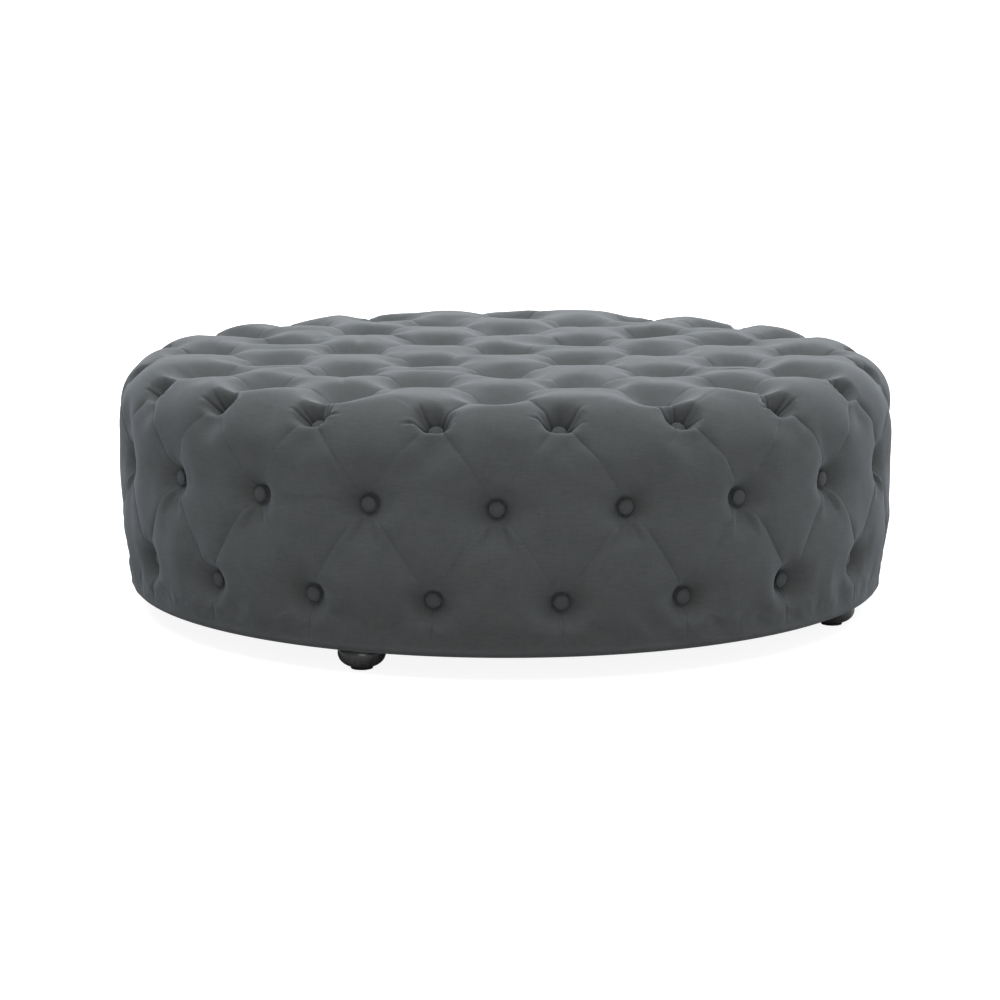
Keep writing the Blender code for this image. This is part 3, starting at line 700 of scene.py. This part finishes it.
def settled(plan, triangles):
    """How far each point moves when the cloth, cut a little too large, is pushed out by its filling."""
    start = wrapped(plan, tufting(plan, fine=False) + START_INSET)
    obj = cloth_object("settling_cover", start, triangles, None)
    cloth = obj.modifiers.new("settle", "CLOTH")
    settings = cloth.settings
    settings.vertex_group_mass = held_groups(obj, plan)
    settings.quality = 7
    settings.mass = 0.35
    settings.tension_stiffness = settings.compression_stiffness = 18.0
    settings.shear_stiffness = 6.0
    settings.bending_stiffness = 0.25
    settings.tension_damping = settings.compression_damping = 12.0
    settings.air_damping = 2.0
    settings.shrink_min = -EXTRA_CLOTH
    settings.use_pressure = True
    settings.uniform_pressure_force = 4.0
    settings.effector_weights.gravity = 0.0
    cloth.collision_settings.use_collision = False
    scene = bpy.context.scene
    for step in range(1, 21):
        scene.frame_set(step)
    bpy.ops.object.select_all(action="DESELECT")
    obj.select_set(True)
    bpy.context.view_layer.objects.active = obj
    bpy.ops.object.modifier_apply(modifier=cloth.name)
    moved = np.empty(len(plan) * 3)
    obj.data.vertices.foreach_get("co", moved)
    shift = moved.reshape(-1, 3) - start
    scene.frame_set(1)
    bpy.data.objects.remove(obj, do_unlink=True)
    length = np.linalg.norm(shift, axis=1, keepdims=True)
    return shift * np.minimum(1, MOST_MOVE / np.maximum(length, 1e-9))


def carried_to_fine(shift, coarse, fine, count):
    """Values of a grid with count steps, carried to the same grid with twice as many."""
    index = {weight: number for number, weight in enumerate(patch_grid(count)[0])}
    first, second = [], []
    for weight in patch_grid(2 * count)[0]:
        low = [share // 2 for share in weight]
        odd = [place for place, share in enumerate(weight) if share % 2]
        for chosen, corner in zip((first, second), odd or (None, None)):
            chosen.append(index[tuple(share + (place == corner) for place, share in enumerate(low))])
    coarse = np.array(coarse)
    result = np.zeros((max(map(max, fine)) + 1, 3))
    result[np.array(fine)] = (shift[coarse[:, first]] + shift[coarse[:, second]]) / 2
    return result


def relaxed(values, triangles, rounds):
    """Values averaged with their neighbours' over a mesh."""
    faces = np.array(triangles)
    starts = np.concatenate([faces[:, 0], faces[:, 1], faces[:, 2]])
    ends = np.concatenate([faces[:, 1], faces[:, 2], faces[:, 0]])
    count = np.bincount(starts, minlength=len(values)) + np.bincount(ends, minlength=len(values))
    for _ in range(rounds):
        total = np.zeros_like(values)
        for axis in range(3):
            total[:, axis] = np.bincount(starts, values[ends, axis], len(values))
            total[:, axis] += np.bincount(ends, values[starts, axis], len(values))
        values = 0.4 * values + 0.6 * total / count[:, None]
    return values


def make_cover(material):
    plan, triangles, patches = fill_net(2 * GRID)
    shift = np.zeros((len(plan), 3))
    inset = 0.0
    coarse_plan, coarse_triangles, coarse_patches = fill_net(GRID)
    shift = settled(coarse_plan, coarse_triangles)
    shift = relaxed(carried_to_fine(shift, coarse_patches, patches, GRID), triangles, 3)
    inset = START_INSET
    for reach in CREASE_REACHES:
        plan, shift, triangles = refined(plan, shift, triangles, reach)
    points = wrapped(plan, tufting(plan, fine=True) + inset) + shift
    plan, points, faces = turned_in(plan, points, triangles)
    cover = cloth_object("tufted_cover", points, faces, material)
    fabric_coordinates(cover, plan, faces)
    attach(cover, "root")
    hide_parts("cover", "foam_top", "foam_side")


def button_profile():
    """Radius and height of a fabric-covered button, from under its rim to the middle of its dome."""
    rim = [(0.72, -0.2), (0.93, 0.2), (1.0, 0.9), (0.97, 1.6)]
    dome = [(0.88, 2.3), (0.72, 3.15), (0.5, 3.8), (0.26, 4.15)]
    return [(share * BUTTON_RADIUS, height * MM) for share, height in rim + dome]


def model_button():
    """One covered button, drawn up ring by ring from a disc, with its axis along +Z."""
    bpy.ops.object.select_all(action="DESELECT")
    profile = button_profile()
    radius, level = profile[0]
    bpy.ops.mesh.primitive_circle_add(vertices=20, radius=radius, fill_type="NGON", location=(0, 0, level))
    bpy.ops.object.mode_set(mode="EDIT")
    bpy.ops.mesh.select_all(action="SELECT")
    bpy.ops.mesh.flip_normals()
    for (radius, height), (next_radius, next_height) in zip(profile, profile[1:]):
        bpy.ops.mesh.extrude_region_move(TRANSFORM_OT_translate={"value": (0, 0, next_height - height)})
        bpy.ops.transform.resize(value=(next_radius / radius, next_radius / radius, 1))
    bpy.ops.mesh.poke()
    bpy.ops.mesh.select_all(action="SELECT")
    bpy.ops.mesh.normals_make_consistent(inside=False)
    bpy.ops.object.mode_set(mode="OBJECT")
    button = bpy.context.active_object
    bpy.ops.object.transform_apply(location=True, rotation=True, scale=True)
    return button


def placed_copy(model, place, turn):
    """A copy of the button's mesh, seated in its pocket and turned a little about its own axis."""
    plan = np.array([place])
    low = Vector(wrapped(plan, np.array([seat_depth(place)]))[0])
    outwards = (Vector(wrapped(plan, np.array([0.0]))[0]) - low).normalized()
    mesh = model.data.copy()
    turned = Matrix.Rotation(turn, 4, "Z")
    upright = outwards.to_track_quat("Z", "Y").to_matrix().to_4x4()
    mesh.transform(Matrix.Translation(low) @ upright @ turned)
    return mesh


def make_button_row(name, node, places, model, material):
    bpy.ops.object.select_all(action="DESELECT")
    for place in places:
        mesh = placed_copy(model, place, RANDOM.uniform(0, math.tau))
        copy = bpy.data.objects.new(name, mesh)
        bpy.context.scene.collection.objects.link(copy)
        copy.select_set(True)
        bpy.context.view_layer.objects.active = copy
    bpy.ops.object.join()
    row = bpy.context.active_object
    row.name = name
    row.data.materials.clear()
    row.data.materials.append(material)
    row.data.shade_smooth()
    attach(row, "root")
    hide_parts(node)


def make_buttons(material):
    model = model_button()
    rows = {}
    for (_, row), place in LATTICE.items():
        rows.setdefault(row, []).append(place)
    for number, row in enumerate(sorted(rows), start=1):
        make_button_row(f"top_buttons_{number}", f"tuft_top_row_{number}", rows[row], model, material)
    make_button_row("shoulder_buttons", "tuft_shoulder_row", SHOULDER, model, material)
    make_button_row("upper_side_buttons", "tuft_upper_row", UPPER, model, material)
    make_button_row("lower_side_buttons", "tuft_lower_row", LOWER, model, material)
    bpy.data.objects.remove(model, do_unlink=True)


def make_foot(number, material):
    """A low bun foot, drawn up ring by ring from its base."""
    low, high = (Vector(corner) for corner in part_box(f"foot_{number}"))
    middle = (low + high) / 2
    widest = (high.x - low.x) / 2
    height = high.z - low.z
    centre = (middle.x, middle.y, low.z)
    bpy.ops.object.select_all(action="DESELECT")
    first_radius = FOOT_OUTLINE[0][0] * widest
    bpy.ops.mesh.primitive_circle_add(vertices=48, radius=first_radius, fill_type="NGON", location=centre)
    foot = bpy.context.active_object
    bpy.ops.object.mode_set(mode="EDIT")
    bpy.ops.mesh.select_all(action="SELECT")
    for (radius, level), (next_radius, next_level) in zip(FOOT_OUTLINE, FOOT_OUTLINE[1:]):
        rise = (next_level - level) * height
        bpy.ops.mesh.extrude_region_move(TRANSFORM_OT_translate={"value": (0, 0, rise)})
        grow = next_radius / radius
        bpy.ops.transform.resize(value=(grow, grow, 1), center_override=centre)
    bpy.ops.mesh.select_all(action="SELECT")
    bpy.ops.mesh.normals_make_consistent(inside=False)
    bpy.ops.object.mode_set(mode="OBJECT")
    bpy.ops.object.transform_apply(location=True, rotation=True, scale=True)
    smooth = foot.modifiers.new("smooth", "SUBSURF")
    smooth.levels = smooth.render_levels = 1
    bpy.ops.object.modifier_apply(modifier=smooth.name)
    foot.name = f"bun_foot_{number}"
    foot.data.materials.append(material)
    foot.data.shade_smooth()
    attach(foot, "root")
    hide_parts(f"foot_{number}")


def finish_cad_nodes():
    plywood = raw_wood("birch_plywood", (0.62, 0.47, 0.29), (0.44, 0.30, 0.17), (6, 60, 60), plies=180.0)
    bending = raw_wood("bending_plywood", (0.50, 0.36, 0.22), (0.33, 0.22, 0.13), (60, 60, 5))
    pine = raw_wood("pine", (0.66, 0.49, 0.29), (0.46, 0.30, 0.15), (70, 70, 6))
    zinc = steel()
    felt = fibrous("felt", (0.015, 0.015, 0.015), (0.05, 0.05, 0.05), 900.0, 0.0006)
    cambric = fibrous("black_cambric", (0.008, 0.008, 0.008), (0.03, 0.03, 0.03), 700.0, 0.0003)
    finishes = {
        "base_board": plywood,
        "deck_board": plywood,
        "side_panel": bending,
        "post": pine,
        "centre_post": pine,
        "hanger_bolt": zinc,
        "tee_nut": zinc,
        "glide": felt,
        "dust_cover": cambric,
    }
    for name, obj in NODES.items():
        stem = name.rstrip("0123456789").rstrip("_")
        if stem in finishes:
            obj.data.materials.clear()
            obj.data.materials.append(finishes[stem])


# Stage


def make_camera():
    """The view is set in units of the pouf's radius; the pouf's axis sits a little right of the middle."""
    distance, height = 8.0 * OUTER_RADIUS, 1.71 * OUTER_RADIUS
    orbit, down, left = math.radians(1.2), 0.1798, 0.00186
    camera = bpy.data.cameras.new("camera")
    camera.sensor_width = 36.0
    camera.lens = 111.3
    obj = bpy.data.objects.new("camera", camera)
    bpy.context.scene.collection.objects.link(obj)
    obj.location = (distance * math.sin(orbit), -distance * math.cos(orbit), height)
    obj.rotation_euler = (math.pi / 2 - down, 0.0, orbit + left)
    bpy.context.scene.camera = obj


def add_softbox(name, place, size, power, target=(0, 0, 0.2)):
    light = bpy.data.lights.new(name, "AREA")
    light.shape = "RECTANGLE"
    light.size, light.size_y = size
    light.energy = power
    obj = bpy.data.objects.new(name, light)
    obj.location = place
    obj.rotation_euler = (Vector(target) - Vector(place)).to_track_quat("-Z", "Y").to_euler()
    bpy.context.scene.collection.objects.link(obj)


def make_stage():
    """A white floor that glows a little, under one broad soft light."""
    bpy.ops.object.select_all(action="DESELECT")
    bpy.ops.mesh.primitive_plane_add(size=80.0)
    floor = bpy.context.active_object
    floor.name = "studio_floor"
    n = Nodes("studio_floor")
    seen = n.add("LightPath").outputs["Is Camera Ray"]
    n.shader.inputs["Base Color"].default_value = (0.46, 0.46, 0.46, 1.0)
    n.shader.inputs["Emission Color"].default_value = (1.0, 1.0, 1.0, 1.0)
    n.join(n.math("MULTIPLY", seen, 0.90), n.shader.inputs["Emission Strength"])
    n.shader.inputs["Roughness"].default_value = 1.0
    n.shader.inputs["Specular IOR Level"].default_value = 0.0
    floor.data.materials.append(n.material)
    world = bpy.context.scene.world or bpy.data.worlds.new("studio")
    bpy.context.scene.world = world
    world.use_nodes = True
    tree = world.node_tree
    background = tree.nodes["Background"]
    background.inputs["Color"].default_value = (0.95, 0.98, 1.0, 1.0)
    path = tree.nodes.new("ShaderNodeLightPath")
    level = tree.nodes.new("ShaderNodeMapRange")
    level.inputs["To Min"].default_value = 0.21
    level.inputs["To Max"].default_value = 1.1
    tree.links.new(path.outputs["Is Camera Ray"], level.inputs["Value"])
    tree.links.new(level.outputs["Result"], background.inputs["Strength"])
    sun = bpy.data.lights.new("soft_overhead", "SUN")
    sun.energy = 3.2
    sun.angle = math.radians(80)
    sun.color = (0.95, 0.98, 1.0)
    high = bpy.data.objects.new("soft_overhead", sun)
    high.rotation_euler = (math.radians(-7), 0.0, 0.0)
    bpy.context.scene.collection.objects.link(high)
    add_softbox("back", (0.0, 4.0, 1.9), (4.5, 1.4), 155.0, (0, 0, 0.35))
    add_softbox("front", (0.3, -4.0, 0.9), (2.2, 1.2), 14.5)
    add_softbox("right", (3.2, 0.8, 1.0), (1.6, 2.0), 14.0)
    bpy.context.scene.view_settings.view_transform = "Standard"


def main():
    make_camera()
    make_stage()
    fabric = linen("charcoal_linen", (0.105, 0.109, 0.108), "UV")
    button_fabric = linen("charcoal_linen_buttons", (0.092, 0.095, 0.095), "Object")
    make_cover(fabric)
    make_buttons(button_fabric)
    foot_finish = dark_wood()
    for number in range(1, 5):
        make_foot(number, foot_finish)
    finish_cad_nodes()


main()
